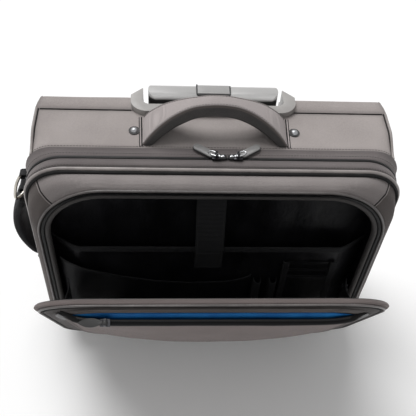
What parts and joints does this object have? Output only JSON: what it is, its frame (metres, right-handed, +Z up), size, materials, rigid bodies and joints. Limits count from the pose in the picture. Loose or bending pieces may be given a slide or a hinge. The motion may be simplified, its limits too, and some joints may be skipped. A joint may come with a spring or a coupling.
{
  "type": "rolling laptop case",
  "caption": "Soft-sided rolling laptop case with an open drop-down front flap, padded sleeve, telescopic trolley grip, carry and side handles and rear wheels.",
  "frame": {"origin": "on the floor, under the middle of the box round the case at rest", "axes": "+Z up from the floor, -Y to the front where the flap opens, +X to the viewer's right"},
  "size_m": [0.477, 0.3104, 0.3951],
  "materials": {
    "grey_fabric": "matte",
    "band_fabric": "matte",
    "light_fabric": "satin",
    "piping": "satin",
    "black_lining": "satin",
    "black_webbing": "matte",
    "blue_lining": "satin",
    "zip_tape": "matte",
    "light_plastic": "satin",
    "black_plastic": "matte",
    "dark_plastic": "matte",
    "tube_metal": "satin",
    "silver_metal": "polished",
    "axle_steel": "satin",
    "tyre_rubber": "matte",
    "hub_plastic": "satin",
    "slider_metal": "satin",
    "pull_metal": "satin"
  },
  "bodies": {
    "case": {"top_panel": "grey_fabric", "back_panel": "grey_fabric", "left_side_panel": "grey_fabric", "right_side_panel": "grey_fabric", "bottom_panel": "dark_plastic", "rear_zip_band": "band_fabric", "side_piping": "piping", "carry_handle": "light_fabric", "handle_anchor_plate": "black_plastic", "handle_rivets": "silver_metal", "rivet_washers": "black_plastic", "trolley_bezel": "light_plastic", "trolley_cover": "dark_plastic", "tube_foot": "black_plastic", "outer_tubes": "tube_metal", "trolley_screws": "axle_steel", "left_wheel_housing": "black_plastic", "right_wheel_housing": "black_plastic", "wheel_axles": "axle_steel", "front_feet": "black_plastic", "ring_tabs": "black_webbing", "side_rings": "silver_metal", "side_handle": "black_webbing"},
    "trolley_middle": {"mid_tubes": "tube_metal", "mid_collars": "black_plastic"},
    "trolley_upper": {"inner_tubes": "tube_metal", "grip_lower": "light_plastic", "grip_upper": "light_plastic"},
    "lock_button": {"grip_button": "light_plastic", "lock_rods": "axle_steel"},
    "left_wheel": {"left_tyre": "tyre_rubber", "left_hub": "hub_plastic"},
    "right_wheel": {"right_tyre": "tyre_rubber", "right_hub": "hub_plastic"},
    "left_zip_slider": {"left_slider": "slider_metal"},
    "left_zip_pull": {"left_pull": "pull_metal"},
    "right_zip_slider": {"right_slider": "slider_metal"},
    "right_zip_pull": {"right_pull": "pull_metal"},
    "front_section": {"front_zip_band": "band_fabric", "rim_piping": "piping", "front_gusset": "grey_fabric", "opening_zip_tape": "zip_tape", "divider_panel": "black_lining", "laptop_sleeve": "black_lining", "organizer_pocket": "black_lining", "pen_loops": "black_webbing", "card_pockets": "black_lining"},
    "sleeve_strap": {"laptop_strap": "black_webbing"},
    "flap_zip_slider": {"flap_slider": "slider_metal"},
    "flap_zip_pull": {"flap_pull": "pull_metal"},
    "flap": {"flap_zip_tape": "zip_tape", "flap_gusset": "grey_fabric", "flap_panel": "grey_fabric", "flap_piping": "piping", "pocket_lining": "blue_lining", "pocket_panel": "grey_fabric", "pocket_zip_tape": "zip_tape", "side_gussets": "black_lining"},
    "pocket_zip_slider": {"pocket_slider": "slider_metal"},
    "pocket_zip_pull": {"pocket_pull": "pull_metal"}
  },
  "joints": [
    {"name": "main_opening", "type": "hinge", "parent": "case", "child": "front_section", "pos_m": [0.0165, 0.01321, 0.0206], "axis": [1, 0, 0], "range_deg": [0, 90]},
    {"name": "flap_hinge", "type": "hinge", "parent": "front_section", "child": "flap", "pos_m": [0.0165, -0.01279, 0.04], "axis": [1, 0, 0], "range_deg": [-24, 0], "deforming": ["side_gussets"]},
    {"name": "strap_lift", "type": "hinge", "parent": "front_section", "child": "sleeve_strap", "pos_m": [0.0145, 0.02281, 0.3035], "axis": [-1, 0, 0], "range_deg": [0, 100]},
    {"name": "trolley_first_stage", "type": "slide", "parent": "case", "child": "trolley_middle", "axis": [0, 0, 1], "range_m": [0, 0.21]},
    {"name": "trolley_second_stage", "type": "slide", "parent": "trolley_middle", "child": "trolley_upper", "axis": [0, 0, 1], "range_m": [0, 0.22]},
    {"name": "lock_button_press", "type": "slide", "parent": "trolley_upper", "child": "lock_button", "axis": [0, 0, -1], "range_m": [0, 0.004], "stiffness_N_per_m": 800, "springref_m": -0.003},
    {"name": "left_wheel_spin", "type": "hinge", "parent": "case", "child": "left_wheel", "pos_m": [-0.1715, 0.12521, 0.03], "axis": [1, 0, 0], "continuous": true},
    {"name": "right_wheel_spin", "type": "hinge", "parent": "case", "child": "right_wheel", "pos_m": [0.2045, 0.12521, 0.03], "axis": [1, 0, 0], "continuous": true},
    {"name": "left_slider_travel", "type": "slide", "parent": "case", "child": "left_zip_slider", "axis": [-1, 0, 0], "range_m": [0, 0.15]},
    {"name": "left_pull_swing", "type": "hinge", "parent": "left_zip_slider", "child": "left_zip_pull", "pos_m": [0.0165, 0.03021, 0.3526], "axis": [0, 1, 0], "range_deg": [0, 100]},
    {"name": "right_slider_travel", "type": "slide", "parent": "case", "child": "right_zip_slider", "axis": [1, 0, 0], "range_m": [0, 0.14]},
    {"name": "right_pull_swing", "type": "hinge", "parent": "right_zip_slider", "child": "right_zip_pull", "pos_m": [0.0415, 0.03021, 0.3526], "axis": [0, -1, 0], "range_deg": [0, 100]},
    {"name": "flap_slider_travel", "type": "slide", "parent": "front_section", "child": "flap_zip_slider", "axis": [0, 0, 1], "range_m": [-0.025, 0.12]},
    {"name": "flap_pull_swing", "type": "hinge", "parent": "flap_zip_slider", "child": "flap_zip_pull", "pos_m": [0.205, -0.00779, 0.133], "axis": [-1, 0, 0], "range_deg": [0, 150]},
    {"name": "pocket_slider_travel", "type": "slide", "parent": "flap", "child": "pocket_zip_slider", "axis": [1, 0, 0], "range_m": [0, 0.24]},
    {"name": "pocket_pull_swing", "type": "hinge", "parent": "pocket_zip_slider", "child": "pocket_zip_pull", "pos_m": [-0.1015, -0.151, 0.29142], "axis": [0, 0.9135, 0.4067], "range_deg": [0, 100]}
  ]
}
